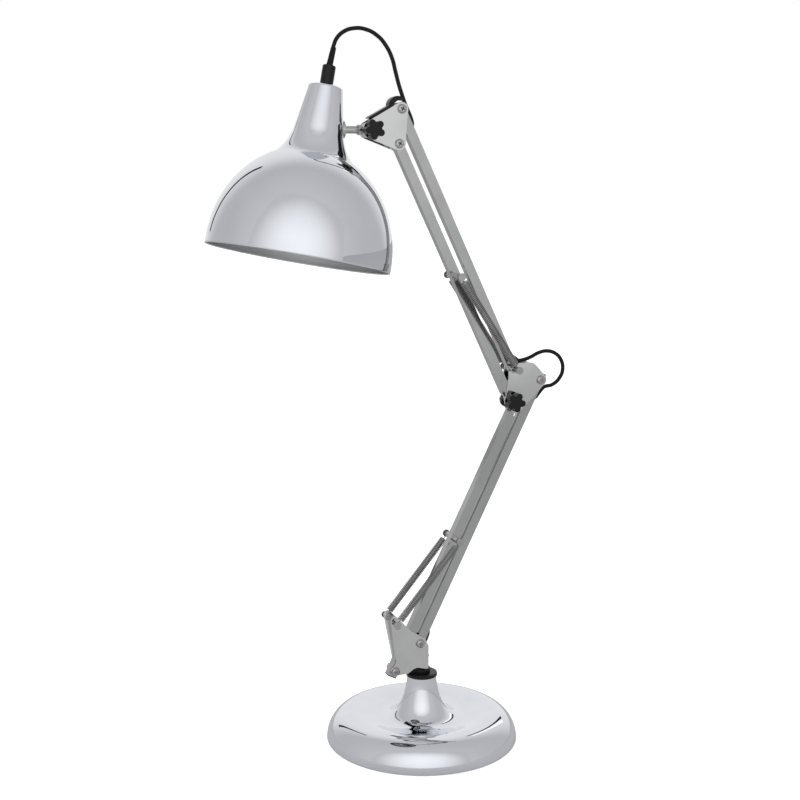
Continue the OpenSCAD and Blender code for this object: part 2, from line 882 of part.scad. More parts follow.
head_route = [flat(h_right + [5.6, 4.4]), flat(h_right + [2.8, 12]),
              flat(h_right + [-0.6, 22], 0.2), flat(h_right + [-3.8, 34], 0.6),
              flat(h_right + [-7, 46], 1), flat(h_right + [-12.6, 57], 1.6),
              flat(h_right + [-21, 66], 2.2), flat(h_right + [-32, 71.4], 2.8),
              flat(h_right + [-43, 72], 3.4), flat(h_right + [-52.6, 68.6], 3.8),
              sleeve_end + 8 * sleeve_out + [1.4, 0, 0], sleeve_end + 0.25 * sleeve_out];

module lead_sleeve() {
    color("black") lead([gland_top, sleeve_mid, sleeve_end], 5.6);
}

module base_lead() {
    color("black") lead(route(base_route));
}

module elbow_lead_loop() {
    color("black") lead(route(elbow_route));
}

module elbow_lead_tail() {
    color("black") lead(route(elbow_tail));
}

module head_lead_tail() {
    color("black") lead(route(head_tail));
}

module head_lead_loop() {
    color("black") lead(route(head_route));
}

base_shell();
base_weight();
base_pad();
base_post();
lead_outlet();
swivel_disc();
swivel_block();
swivel_spindle();
base_plate_front();
base_plate_rear();
base_screws();
base_nuts();
base_spring_anchors();
lower_tube_left();
lower_tube_left_cap();
lower_tube_right();
lower_tube_right_caps();
lower_spring_pin();
lower_springs();
elbow_plate_front();
elbow_plate_rear();
elbow_screws();
elbow_nuts();
elbow_spring_pin();
elbow_knob();
elbow_bolt();
elbow_bolt_nut();
upper_tube_left();
upper_tube_left_cap();
upper_tube_right();
upper_tube_right_caps();
upper_spring_pin();
upper_springs();
head_plate_front();
head_plate_rear();
head_guide();
head_screws();
head_nuts();
head_knob();
head_bolt();
head_bolt_nut();
shade_stem();
stem_flange();
stem_nut();
shade_shell();
lampholder();
lead_gland();
lead_sleeve();
base_lead();
elbow_lead_loop();
elbow_lead_tail();
head_lead_tail();
head_lead_loop();
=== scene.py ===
# %% [markdown]
# # A chrome swing arm desk lamp
# The lamp stands on a spun, weighted base. Two arms of paired square tubes carry a bell shaped
# shade, and two pairs of balance springs hold the arms up. The solid model already gives every
# piece its true size and place, so this lesson is about finish: soft edges, coiled wire,
# polished metal, and a small studio for the metal to reflect.

# %% Load the solid model
import bpy
import bmesh
import json
import math
from mathutils import Matrix, Vector

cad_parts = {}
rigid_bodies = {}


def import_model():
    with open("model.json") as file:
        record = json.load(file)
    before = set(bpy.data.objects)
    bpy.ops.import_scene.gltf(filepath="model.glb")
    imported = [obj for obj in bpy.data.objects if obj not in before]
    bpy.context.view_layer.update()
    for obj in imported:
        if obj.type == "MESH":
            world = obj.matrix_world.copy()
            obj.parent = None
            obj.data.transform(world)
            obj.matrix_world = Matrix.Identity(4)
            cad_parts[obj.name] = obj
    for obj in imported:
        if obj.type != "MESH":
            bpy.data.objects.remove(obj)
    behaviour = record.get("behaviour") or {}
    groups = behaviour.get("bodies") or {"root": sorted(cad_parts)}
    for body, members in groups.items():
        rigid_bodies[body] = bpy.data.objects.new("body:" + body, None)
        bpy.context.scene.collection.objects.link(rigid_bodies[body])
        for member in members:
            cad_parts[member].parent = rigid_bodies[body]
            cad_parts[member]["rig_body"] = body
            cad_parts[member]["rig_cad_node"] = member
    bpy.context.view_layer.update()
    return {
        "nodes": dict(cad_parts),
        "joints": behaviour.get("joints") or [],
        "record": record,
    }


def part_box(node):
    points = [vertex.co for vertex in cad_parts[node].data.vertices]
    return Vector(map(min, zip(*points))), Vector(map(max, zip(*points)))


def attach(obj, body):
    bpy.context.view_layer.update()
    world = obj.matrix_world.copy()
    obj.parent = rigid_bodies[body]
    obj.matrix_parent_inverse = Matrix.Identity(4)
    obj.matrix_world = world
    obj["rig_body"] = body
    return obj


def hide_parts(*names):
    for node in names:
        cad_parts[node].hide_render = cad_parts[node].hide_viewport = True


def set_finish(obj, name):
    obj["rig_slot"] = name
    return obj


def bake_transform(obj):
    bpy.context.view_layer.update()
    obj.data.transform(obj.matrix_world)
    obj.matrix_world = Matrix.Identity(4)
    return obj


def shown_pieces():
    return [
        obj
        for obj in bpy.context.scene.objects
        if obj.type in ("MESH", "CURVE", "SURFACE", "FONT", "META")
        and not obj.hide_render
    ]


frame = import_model()
MM = 0.001
JOINTS = {j["name"]: Vector(j["pos_m"]) for j in frame["joints"]}
MOUNTS = {m["name"]: m for m in frame["record"]["mounts"]}

# %% [markdown]
# A product view is taken with a long lens, so that near and far pieces keep their proportions.
# The camera stands to the left of the lamp, a little above the middle of its height, and looks
# slightly down. A distance, an angle round the lamp and a height describe it, and the lens is
# worked out from how much of the scene has to fit in a square frame.

# %% Camera
CAMERA_DISTANCE = 1.2907
CAMERA_ROUND = math.radians(-20.26)
CAMERA_HEIGHT = 0.5506
CAMERA_TURN = math.radians(0.96)
CAMERA_DOWN = math.radians(9.1)
LENS = 60.8


def make_camera():
    data = bpy.data.cameras.new("product_camera")
    data.lens = LENS
    data.sensor_width = 36
    data.clip_end = 50
    camera = bpy.data.objects.new("product_camera", data)
    bpy.context.scene.collection.objects.link(camera)
    camera.location = (CAMERA_DISTANCE * math.sin(CAMERA_ROUND),
                       -CAMERA_DISTANCE * math.cos(CAMERA_ROUND), CAMERA_HEIGHT)
    camera.rotation_euler = (math.pi / 2 - CAMERA_DOWN, 0, CAMERA_ROUND + CAMERA_TURN)
    bpy.context.scene.camera = camera
    return camera


print("camera at", [round(c, 3) for c in make_camera().location])

# %% [markdown]
# Every piece is a mesh whose place is in its own points, so its object stays at the origin.
# These helpers wrap what all pieces need: an object from a bmesh, a body to ride on, the solid
# node that it stands for and the finish that it takes. Flat faces keep flat shading next to
# their rounded edges because a weighted normal gives large faces the say.

# %% Helpers for finished pieces
def body_of(node):
    return frame["nodes"][node]["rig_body"]


def slot_of(node):
    parts = frame["record"]["subparts"]
    return next(p["material_slot"] for p in parts if p["node"] == node)


def shade_by_angle(mesh, degrees=38):
    mesh.polygons.foreach_set("use_smooth", [True] * len(mesh.polygons))
    mesh.set_sharp_from_angle(angle=math.radians(degrees))


def piece_from(bm, name, degrees=38):
    mesh = bpy.data.meshes.new(name)
    bm.to_mesh(mesh)
    bm.free()
    shade_by_angle(mesh, degrees)
    piece = bpy.data.objects.new(name, mesh)
    bpy.context.scene.collection.objects.link(piece)
    return piece


def stand_for(piece, node, body=None):
    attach(piece, body or body_of(node))
    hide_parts(node)
    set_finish(piece, slot_of(node))
    return piece


# %% [markdown]
# A pressed or cut piece of metal never has a razor edge. The solid node has the right faces, so
# a copy of it is merged, its flat faces are joined, and its sharp edges get a narrow round. The
# round is what catches the light as a thin bright line along each edge.

# %% Rounding the edges of a solid node
def rounded(node, width_mm, segments=2, sharp=28):
    bm = bmesh.new()
    bm.from_mesh(frame["nodes"][node].data)
    bmesh.ops.remove_doubles(bm, verts=bm.verts, dist=2e-6)
    bmesh.ops.dissolve_limit(bm, angle_limit=math.radians(0.4), verts=bm.verts,
                             edges=bm.edges)
    edges = [e for e in bm.edges if len(e.link_faces) == 2
             and e.calc_face_angle(0) > math.radians(sharp)]
    bmesh.ops.bevel(bm, geom=edges, offset=width_mm * MM, offset_type="OFFSET",
                    segments=segments, profile=0.5, affect="EDGES", material=-1,
                    clamp_overlap=True)
    bmesh.ops.remove_doubles(bm, verts=bm.verts, dist=1e-6)
    piece = piece_from(bm, node + "_finished")
    weighted = piece.modifiers.new("keep flats flat", "WEIGHTED_NORMAL")
    weighted.keep_sharp = True
    return stand_for(piece, node)


# %% [markdown]
# ## The lead
# A lead leaves the base through the swivel, runs inside the arm tubes and shows only where it
# steps round a joint. Each of those steps is a free length held at both ends, so it is drawn as
# a curve through a few points and thickened to the sheath. Points are given from the pivot
# that the step goes round.

# %% Lead routes
LEAD_D = 3.8 * MM
tube_half = 4.6 * MM
side = tube_half + LEAD_D / 2 + 0.2 * MM
LOWER_RIGHT = JOINTS["lower_arm_pitch"]
ELBOW_RIGHT = JOINTS["elbow_level"]
UPPER_RIGHT = JOINTS["upper_arm_pitch"]
HEAD_RIGHT = JOINTS["head_level"]
lower_way = (ELBOW_RIGHT - LOWER_RIGHT).normalized()
upper_way = (HEAD_RIGHT - UPPER_RIGHT).normalized()


def by_tube(pivot, way, along_mm, off):
    across = Vector((way.z, 0, -way.x))
    return pivot + way * along_mm * MM + across * off


def off_pivot(pivot, x, z, y=0.0):
    return pivot + Vector((x, y, z)) * MM


# %% [markdown]
# The shade's own axis comes from the lampholder, whose mouth points down it. Heights along the
# axis are counted from the centre of the rim.

# %% Shade axis
UP_SHADE = -Vector(MOUNTS["lampholder_mouth"]["axis"]).normalized()
HOLDER_MOUTH_MM = 110
SHADE_H_MM = 157
CROWN_MM = 3.6
GLAND_MM = 17.6
RIM = Vector(MOUNTS["lampholder_mouth"]["pos_m"]) - UP_SHADE * HOLDER_MOUTH_MM * MM
GLAND_Z = SHADE_H_MM * MM + CROWN_MM * MM
gland_top = RIM + UP_SHADE * (GLAND_Z + GLAND_MM * MM)
sleeve_mid = gland_top + UP_SHADE * 8 * MM
sleeve_end = gland_top + UP_SHADE * 17 * MM + Vector((0.6, 0, 0)) * MM
sleeve_out = (sleeve_end - sleeve_mid).normalized()
print("rim centre", [round(c, 4) for c in RIM], "axis", [round(c, 3) for c in UP_SHADE])

# %% Points of each lead length
BLOCK_TOP = LOWER_RIGHT.z - 12 * MM
DISC_TOP = LOWER_RIGHT.z - 31.5 * MM
ROUTES = {
    "base_lead": [
        by_tube(LOWER_RIGHT, lower_way, 17, 1.5 * MM),
        by_tube(LOWER_RIGHT, lower_way, 13, side - 1.2 * MM),
        by_tube(LOWER_RIGHT, lower_way, 8, side),
        by_tube(LOWER_RIGHT, lower_way, 0, side + 0.2 * MM),
        off_pivot(LOWER_RIGHT, 4.4, -7), Vector((1.5 * MM, 0, BLOCK_TOP + 1.5 * MM)),
        Vector((0, 0, BLOCK_TOP - 3 * MM)), Vector((0, 0, DISC_TOP + 2.3 * MM)),
        Vector((0, 0, DISC_TOP - 31.5 * MM))],
    "elbow_lead_loop": [
        by_tube(ELBOW_RIGHT, lower_way, -23, 1.5 * MM),
        by_tube(ELBOW_RIGHT, lower_way, -18, side - 1 * MM),
        by_tube(ELBOW_RIGHT, lower_way, -11, side + 1 * MM),
        off_pivot(ELBOW_RIGHT, 7, -8.5), off_pivot(ELBOW_RIGHT, 16, -6.5),
        off_pivot(ELBOW_RIGHT, 24, 0), off_pivot(ELBOW_RIGHT, 27.3, 9),
        off_pivot(ELBOW_RIGHT, 25, 18.5), off_pivot(ELBOW_RIGHT, 18.5, 25),
        off_pivot(ELBOW_RIGHT, 10, 27.6), off_pivot(ELBOW_RIGHT, 1, 26.4),
        off_pivot(ELBOW_RIGHT, -8, 22.4), off_pivot(ELBOW_RIGHT, -15.5, 20),
        off_pivot(ELBOW_RIGHT, -21.5, 19.2)],
    "elbow_lead_tail": [
        off_pivot(ELBOW_RIGHT, -21.5, 19.2),
        by_tube(UPPER_RIGHT, upper_way, 9.5, side - 0.6 * MM),
        by_tube(UPPER_RIGHT, upper_way, 14, 2.8 * MM),
        by_tube(UPPER_RIGHT, upper_way, 18, 0.5 * MM),
        by_tube(UPPER_RIGHT, upper_way, 34, 0)],
    "head_lead_tail": [
        by_tube(HEAD_RIGHT, upper_way, -36, 0),
        by_tube(HEAD_RIGHT, upper_way, -23, 1 * MM),
        by_tube(HEAD_RIGHT, upper_way, -18, side - 1.4 * MM),
        by_tube(HEAD_RIGHT, upper_way, -12, side),
        by_tube(HEAD_RIGHT, upper_way, -4, side + 0.2 * MM), off_pivot(HEAD_RIGHT, 5.6, 4.4)],
    "head_lead_loop": [
        off_pivot(HEAD_RIGHT, 5.6, 4.4), off_pivot(HEAD_RIGHT, 2.8, 12),
        off_pivot(HEAD_RIGHT, -0.6, 22, 0.2), off_pivot(HEAD_RIGHT, -3.8, 34, 0.6),
        off_pivot(HEAD_RIGHT, -7, 46, 1), off_pivot(HEAD_RIGHT, -12.6, 57, 1.6),
        off_pivot(HEAD_RIGHT, -21, 66, 2.2), off_pivot(HEAD_RIGHT, -32, 71.2, 2.8),
        off_pivot(HEAD_RIGHT, -43, 71.8, 3.4), off_pivot(HEAD_RIGHT, -52.6, 68.6, 3.8),
        sleeve_end + sleeve_out * 8 * MM + Vector((1.4, 0, 0)) * MM, sleeve_end],
}
print("lead lengths to draw:", list(ROUTES))

# %% [markdown]
# A curve with automatic handles passes smoothly through its points. It is made a mesh tube.
# Each length is listed with the two pieces that hold it and the places, in its list of points,
# of the first and the last point of its bend.

# %% Drawing a lead
def curve_object(name, points, depth):
    curve = bpy.data.curves.new(name, "CURVE")
    curve.dimensions = "3D"
    curve.resolution_u = 8
    curve.bevel_depth = depth
    curve.bevel_resolution = 6
    curve.use_fill_caps = depth > 0
    spline = curve.splines.new("BEZIER")
    spline.bezier_points.add(len(points) - 1)
    for knot, point in zip(spline.bezier_points, points):
        knot.co = point
        knot.handle_left_type = "AUTO"
        knot.handle_right_type = "AUTO"
    made = bpy.data.objects.new(name, curve)
    bpy.context.scene.collection.objects.link(made)
    return made


def mesh_of(made):
    bpy.context.view_layer.update()
    evaluated = made.evaluated_get(bpy.context.evaluated_depsgraph_get())
    mesh = bpy.data.meshes.new_from_object(evaluated)
    bpy.data.objects.remove(made)
    return mesh


def lead_piece(node, points, body_a, body_b, first, last):
    path = [v.co.copy() for v in mesh_of(curve_object(node + "_line", points, 0)).vertices]
    mesh = mesh_of(curve_object(node + "_tube", points, LEAD_D / 2))
    mesh.name = node + "_sheath"
    piece = bpy.data.objects.new(node + "_sheath", mesh)
    bpy.context.scene.collection.objects.link(piece)
    shade_by_angle(mesh, 60)
    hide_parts(node)
    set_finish(piece, slot_of(node))
    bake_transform(piece)
    return piece


# %% Make the five lengths
LEAD_BODIES = {
    "base_lead": ("lower_right", "swivel", 1, 5),
    "elbow_lead_loop": ("lower_right", "elbow", 2, -2),
    "elbow_lead_tail": ("elbow", "upper_right", 0, 1),
    "head_lead_tail": ("upper_right", "head_bracket", 3, -1),
    "head_lead_loop": ("head_bracket", "shade", 2, -2),
}
for node, points in ROUTES.items():
    lead_piece(node, points, *LEAD_BODIES[node])

# %% [markdown]
# ## The base
# The base cover is spun from one sheet: a rolled foot, a round shoulder, a shallow dish and a
# flared neck. Spinning a metal disc over a form and turning an outline round an axis are the
# same idea, so the outline is drawn once and spun a full turn. The outline is an elliptical
# quarter, then two smooth curves, with points close together so that reflections flow.

# %% Curves for an outline
def cubic(a, b, c, d, n):
    return [a * (1 - t) ** 3 + b * 3 * t * (1 - t) ** 2 + c * 3 * t * t * (1 - t) + d * t ** 3
            for t in (i / n for i in range(n + 1))]


def quad(a, b, c, n):
    return cubic(a, a + (b - a) * 2 / 3, c + (b - c) * 2 / 3, c, n)


def quarter(centre, rx, rz, start, stop, n):
    return [centre + Vector((rx * math.cos(a), rz * math.sin(a)))
            for a in (math.radians(start + (stop - start) * i / n) for i in range(n + 1))]


def flat2(x, z):
    return Vector((x, z)) * MM


# %% Turning an outline round an axis
def lathe(name, outline, origin=Vector(), axis=Vector((0, 0, 1)), steps=160, degrees=40):
    turn = Vector((0, 0, 1)).rotation_difference(axis).to_matrix()
    bm = bmesh.new()
    rim = [bm.verts.new(origin + turn @ Vector((p.x, 0, p.y))) for p in outline]
    edges = [bm.edges.new(pair) for pair in zip(rim, rim[1:])]
    bmesh.ops.spin(bm, geom=rim + edges, cent=origin, axis=axis, angle=2 * math.pi,
                   steps=steps, use_merge=True)
    bmesh.ops.remove_doubles(bm, verts=bm.verts, dist=1e-6)
    bmesh.ops.recalc_face_normals(bm, faces=bm.faces)
    return piece_from(bm, name, degrees)


# %% Base cover
low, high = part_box("base_shell")
BASE_R = high.x * 1000 - 0.01
NECK_H = high.z * 1000
NECK_R = 14.3
SHOULDER_W = 25.0
SHOULDER_H = 30.0
SHEET_MM = 0.95
shoulder_r = BASE_R - SHOULDER_W
dish_h = SHOULDER_H - 5.8
dish_r = NECK_R + 27.7


def base_outline():
    foot = [flat2(BASE_R - 3.6, 1), flat2(BASE_R - 2.2, 1.05), flat2(BASE_R - 1.2, 1.4),
            flat2(BASE_R - 0.45, 2.1)]
    shoulder = quarter(flat2(shoulder_r, 3), SHOULDER_W * MM, (SHOULDER_H - 3) * MM, 0, 90, 30)
    dish = cubic(flat2(shoulder_r, SHOULDER_H), flat2(shoulder_r - 8, SHOULDER_H),
                 flat2(dish_r + 8, dish_h + 0.3), flat2(dish_r, dish_h), 24)
    neck = quad(flat2(dish_r, dish_h), flat2(NECK_R + 3.7, dish_h + 0.2),
                flat2(NECK_R, NECK_H), 30)
    top = [flat2(NECK_R - 0.3, NECK_H), flat2(6.2, NECK_H)]
    return foot + shoulder + dish[1:] + neck[1:] + top


def wall(piece, thickness, inner_finish=0):
    solid = piece.modifiers.new("sheet thickness", "SOLIDIFY")
    solid.thickness = thickness
    solid.offset = -1
    solid.use_even_offset = True
    solid.material_offset = inner_finish
    return piece


base_cover = wall(lathe("base_cover", base_outline(), degrees=60), SHEET_MM * MM)
stand_for(base_cover, "base_shell")
print("base cover radius", round(BASE_R, 1), "height", round(NECK_H, 1))

# %% [markdown]
# ## The shade
# The shade is spun the same way: a deep dome, a soft crease, a cone for a neck and a small
# crown. Its rim is turned to a narrow round. The inside of the sheet is left satin, so a wall
# of one millimetre is added afterwards, with a second finish on its inner face.

# %% Shade
SHADE_R = 85.93
DOME_BASE = 5.0
DOME_RISE = 97.5
CREASE = 64.2
NECK_FOOT = flat2(23.2, 116)
CROWN_FOOT = flat2(16, SHADE_H_MM)


def shade_outline():
    rim = [flat2(SHADE_R - 0.75, 0.1), flat2(SHADE_R - 0.4, 0.0), flat2(SHADE_R - 0.1, 0.35),
           flat2(SHADE_R, 1.2)]
    dome = quarter(flat2(0, DOME_BASE), SHADE_R * MM, DOME_RISE * MM, 0, CREASE, 48)
    crease = dome[-1]
    shoulder = quad(crease, Vector((NECK_FOOT.x + 5.1 * MM, crease.y + 6.2 * MM)),
                    NECK_FOOT, 24)
    cone = [NECK_FOOT + (CROWN_FOOT - NECK_FOOT) * i / 12 for i in range(1, 13)]
    crown = [flat2(15.85, 157.9), flat2(15.35, 158.6), flat2(14.4, 159.1), flat2(10, 160.2),
             flat2(6, 160.6), flat2(4.5, 160.6)]
    return rim + dome + shoulder[1:] + cone + crown


shade = wall(lathe("bell_shade", shade_outline(), RIM, UP_SHADE, steps=192, degrees=60),
             SHEET_MM * MM, inner_finish=1)
stand_for(shade, "shade_shell")
print("shade height", SHADE_H_MM + CROWN_MM, "mm, rim", SHADE_R * 2, "mm")

# %% [markdown]
# ## Cut, pressed and turned pieces
# Bracket plates, tubes, screws and pins keep their solid shapes, with edges rounded to suit how
# each was made: wide on moulded plastic, narrow on cut plate and turned steel. A loop does this
# for every node, with one width for each kind of piece.

# %% Rounded pieces
ROUNDS_MM = {
    0.28: ["base_plate_front", "base_plate_rear", "elbow_plate_front", "elbow_plate_rear",
           "head_plate_front", "head_plate_rear"],
    0.85: ["lower_tube_left", "lower_tube_right", "upper_tube_left", "upper_tube_right"],
    0.2: ["base_screws", "elbow_screws", "head_screws", "base_nuts", "elbow_nuts",
          "head_nuts", "elbow_bolt_nut", "head_bolt_nut", "elbow_spring_pin",
          "lower_spring_pin", "upper_spring_pin", "base_spring_anchors", "shade_stem",
          "stem_flange"],
    0.25: ["lower_tube_left_cap", "lower_tube_right_caps", "upper_tube_left_cap",
           "upper_tube_right_caps", "lead_outlet", "elbow_bolt", "head_bolt"],
    0.5: ["swivel_disc", "swivel_block", "head_guide", "lead_gland", "lampholder",
          "base_pad"],
    1.1: ["elbow_knob", "head_knob"],
}
finished = {}
for width, nodes in ROUNDS_MM.items():
    for node in nodes:
        finished[node] = rounded(node, width, segments=4 if width > 0.8 else 2)
print("rounded pieces", len(finished))

# %% [markdown]
# ## Balance springs
# Each spring is one wire, wound close and hooked over a pin at both ends. A small circle spun
# round an axis while it also moves along it draws a helix, so a spin with a step of travel
# winds one turn. Copies of that turn, each a pitch further along, make the coil, which is much
# quicker than spinning it all. Rings and short shanks make the hooks. The wire has only a few
# sides, because each spring has dozens of turns.

# %% Winding a spring
WIRE_R = 0.72 * MM
HOOK_WIRE_R = 0.55 * MM
SPRING_D = 7.6 * MM
COIL_GAP = 6.5 * MM
HOOK_R = 2.7 * MM
PITCH = 1.72 * MM
STEPS = 18


def wire_ring(bm, centre, normal, radius, sides=6):
    turn = Vector((0, 0, 1)).rotation_difference(normal).to_matrix().to_4x4()
    place = Matrix.Translation(centre) @ turn
    return bmesh.ops.create_circle(bm, cap_ends=False, segments=sides, radius=radius,
                                   matrix=place)["verts"]


def ring_edges(verts):
    ring = set(verts)
    return [e for e in {e for v in verts for e in v.link_edges}
            if set(e.verts) <= ring]


def wind(bm, start, way, length):
    turns = round(length / PITCH)
    out = Vector((0, 1, 0))
    radius = SPRING_D / 2 - WIRE_R
    pitch = length / turns
    before = set(bm.verts)
    section = wire_ring(bm, start + out * radius, way.cross(out), WIRE_R)
    bmesh.ops.spin(bm, geom=section + ring_edges(section), cent=start, axis=way,
                   angle=2 * math.pi, steps=STEPS, dvec=way * (pitch / STEPS),
                   use_merge=False)
    verts = [v for v in bm.verts if v not in before]
    geom = verts + list({e for v in verts for e in v.link_edges})
    geom += list({f for v in verts for f in v.link_faces})
    wound = list(verts)
    for turn in range(1, turns):
        copy = bmesh.ops.duplicate(bm, geom=geom)["geom"]
        moved = [v for v in copy if isinstance(v, bmesh.types.BMVert)]
        bmesh.ops.translate(bm, verts=moved, vec=way * (pitch * turn))
        wound += moved
    bmesh.ops.remove_doubles(bm, verts=wound, dist=1e-5)
    return turns


def hook(bm, pin, way):
    section = wire_ring(bm, pin - way * HOOK_R, Vector((0, 1, 0)).cross(way), HOOK_WIRE_R, 8)
    bmesh.ops.spin(bm, geom=section + ring_edges(section), cent=pin, axis=(0, 1, 0),
                   angle=2 * math.pi, steps=32, use_merge=True)
    shank = Vector((0, 0, 1)).rotation_difference(way).to_matrix().to_4x4()
    reach = COIL_GAP - HOOK_R + HOOK_WIRE_R
    bmesh.ops.create_cone(bm, cap_ends=True, segments=8, radius1=HOOK_WIRE_R,
                          radius2=HOOK_WIRE_R, depth=reach, matrix=Matrix.Translation(
                              pin + way * (HOOK_R + reach / 2)) @ shank)
    bmesh.ops.create_cone(bm, cap_ends=True, segments=20, radius1=SPRING_D / 2 - WIRE_R,
                          radius2=SPRING_D / 2 - 0.2 * MM, depth=1 * MM,
                          matrix=Matrix.Translation(pin + way * COIL_GAP) @ shank)


# %% Spring pairs
def middle(node):
    low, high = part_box(node)
    return (low + high) / 2


SPRING_Y = 16.4 * MM


def springs(node, foot, head):
    bm = bmesh.new()
    for y in (-SPRING_Y, SPRING_Y):
        a = Vector((foot.x, y, foot.z))
        b = Vector((head.x, y, head.z))
        way = (b - a).normalized()
        turns = wind(bm, a + way * COIL_GAP, way, (b - a).length - 2 * COIL_GAP)
        hook(bm, a, way)
        hook(bm, b, -way)
    bmesh.ops.recalc_face_normals(bm, faces=bm.faces)
    piece = piece_from(bm, node + "_wound", 60)
    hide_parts(node)
    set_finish(piece, slot_of(node))
    foot = Vector((foot.x, 0, foot.z))
    head = Vector((head.x, 0, head.z))
    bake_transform(piece)
    print(node, "turns", turns, "faces", len(piece.data.polygons))
    return piece


springs("lower_springs", middle("base_spring_anchors"), middle("lower_spring_pin"))
springs("upper_springs", UPPER_RIGHT, middle("upper_spring_pin"))

# %% [markdown]
# ## The lead's sleeve
# Where the lead enters the gland a rubber sleeve keeps it from kinking. It is a short cone,
# turned like the shade, that grips the lead at its thin end.

# %% Sleeve
def sleeve_outline():
    return [flat2(3.2, 0), flat2(3.25, 0.8), flat2(2.95, 1.4), flat2(2.8, 6), flat2(2.62, 12),
            flat2(2.5, 16.2), flat2(2.25, 17.0), flat2(1.9, 17.2)]


sleeve = lathe("lead_sleeve_turned", sleeve_outline(), gland_top, sleeve_out, steps=40,
               degrees=40)
stand_for(sleeve, "lead_sleeve")
print("sleeve length", round((sleeve_outline()[-1].y) * 1000, 1), "mm")

# %% [markdown]
# ## Finishes
# Real metal is never even. Hands leave faint smudges, polishing leaves fine lines, and edges
# lose a little of their finish. Each of these effects serves several materials, so each is a
# node group with its own inputs, placed in every material that needs it. All patterns read
# Object coordinates, which here are metres, so a scale of 100 makes marks about a centimetre
# across.

# %% A helper that builds a node group
def effect(name, inputs, outputs):
    group = bpy.data.node_groups.new(name, "ShaderNodeTree")
    for label, kind, value in inputs:
        socket = group.interface.new_socket(label, in_out="INPUT", socket_type=kind)
        socket.default_value = value
    for label, kind in outputs:
        group.interface.new_socket(label, in_out="OUTPUT", socket_type=kind)
    start = group.nodes.new("NodeGroupInput")
    end = group.nodes.new("NodeGroupOutput")
    start.location = (-900, 0)
    end.location = (700, 0)
    return group, start, end


def noise(group, scale, detail, at, stretch=(1, 1, 1)):
    where = group.nodes.new("ShaderNodeTexCoord")
    where.location = (at[0] - 400, at[1])
    mapping = group.nodes.new("ShaderNodeMapping")
    mapping.location = (at[0] - 200, at[1])
    mapping.inputs["Scale"].default_value = stretch
    texture = group.nodes.new("ShaderNodeTexNoise")
    texture.location = at
    texture.inputs["Scale"].default_value = scale
    texture.inputs["Detail"].default_value = detail
    group.links.new(where.outputs["Object"], mapping.inputs["Vector"])
    group.links.new(mapping.outputs["Vector"], texture.inputs["Vector"])
    return texture


def span(group, value, low, high, at):
    ranged = group.nodes.new("ShaderNodeMapRange")
    ranged.location = at
    ranged.inputs["From Min"].default_value = low
    ranged.inputs["From Max"].default_value = high
    group.links.new(value, ranged.inputs["Value"])
    return ranged


# %% [markdown]
# Smudges are large soft patches with smaller ones inside. They change the roughness between a
# clean and a marked value, and darken the colour by a hair.

# %% Smudges
def make_smudges():
    group, start, end = effect(
        "soft_smudges",
        [("Clean Roughness", "NodeSocketFloat", 0.05),
         ("Marked Roughness", "NodeSocketFloat", 0.15),
         ("Clean Colour", "NodeSocketColor", (0.8, 0.8, 0.8, 1)),
         ("Marked Colour", "NodeSocketColor", (0.7, 0.7, 0.7, 1))],
        [("Roughness", "NodeSocketFloat"), ("Colour", "NodeSocketColor")])
    patches = noise(group, 38, 6, (-300, 150))
    mask = span(group, patches.outputs["Fac"], 0.42, 0.72, (-100, 150))
    tone = group.nodes.new("ShaderNodeMix")
    tone.data_type = "RGBA"
    tone.location = (300, 100)
    rough = group.nodes.new("ShaderNodeMix")
    rough.location = (300, -150)
    group.links.new(mask.outputs["Result"], tone.inputs["Factor"])
    group.links.new(mask.outputs["Result"], rough.inputs["Factor"])
    group.links.new(start.outputs["Clean Colour"], tone.inputs["A"])
    group.links.new(start.outputs["Marked Colour"], tone.inputs["B"])
    group.links.new(start.outputs["Clean Roughness"], rough.inputs["A"])
    group.links.new(start.outputs["Marked Roughness"], rough.inputs["B"])
    group.links.new(rough.outputs["Result"], end.inputs["Roughness"])
    group.links.new(tone.outputs["Result"], end.inputs["Colour"])
    return group


# %% [markdown]
# Drawn tube and rolled plate keep faint lines along one direction. A noise stretched a hundred
# times along that direction gives them as a height for a bump.

# %% Polishing lines
def make_lines():
    group, start, end = effect(
        "polishing_lines", [("Depth", "NodeSocketFloat", 0.2)],
        [("Height", "NodeSocketFloat")])
    lines = noise(group, 900, 3, (-300, 0), (1, 1, 0.02))
    scaled = group.nodes.new("ShaderNodeMath")
    scaled.operation = "MULTIPLY"
    scaled.location = (100, 0)
    group.links.new(lines.outputs["Fac"], scaled.inputs[0])
    group.links.new(start.outputs["Depth"], scaled.inputs[1])
    group.links.new(scaled.outputs["Value"], end.inputs["Height"])
    return group


# %% [markdown]
# Moulded plastic and rubber have the fine, even grain of the mould. Two sizes of noise make it:
# the fine one for the grain, and a wide one for the patches that fingers have polished.

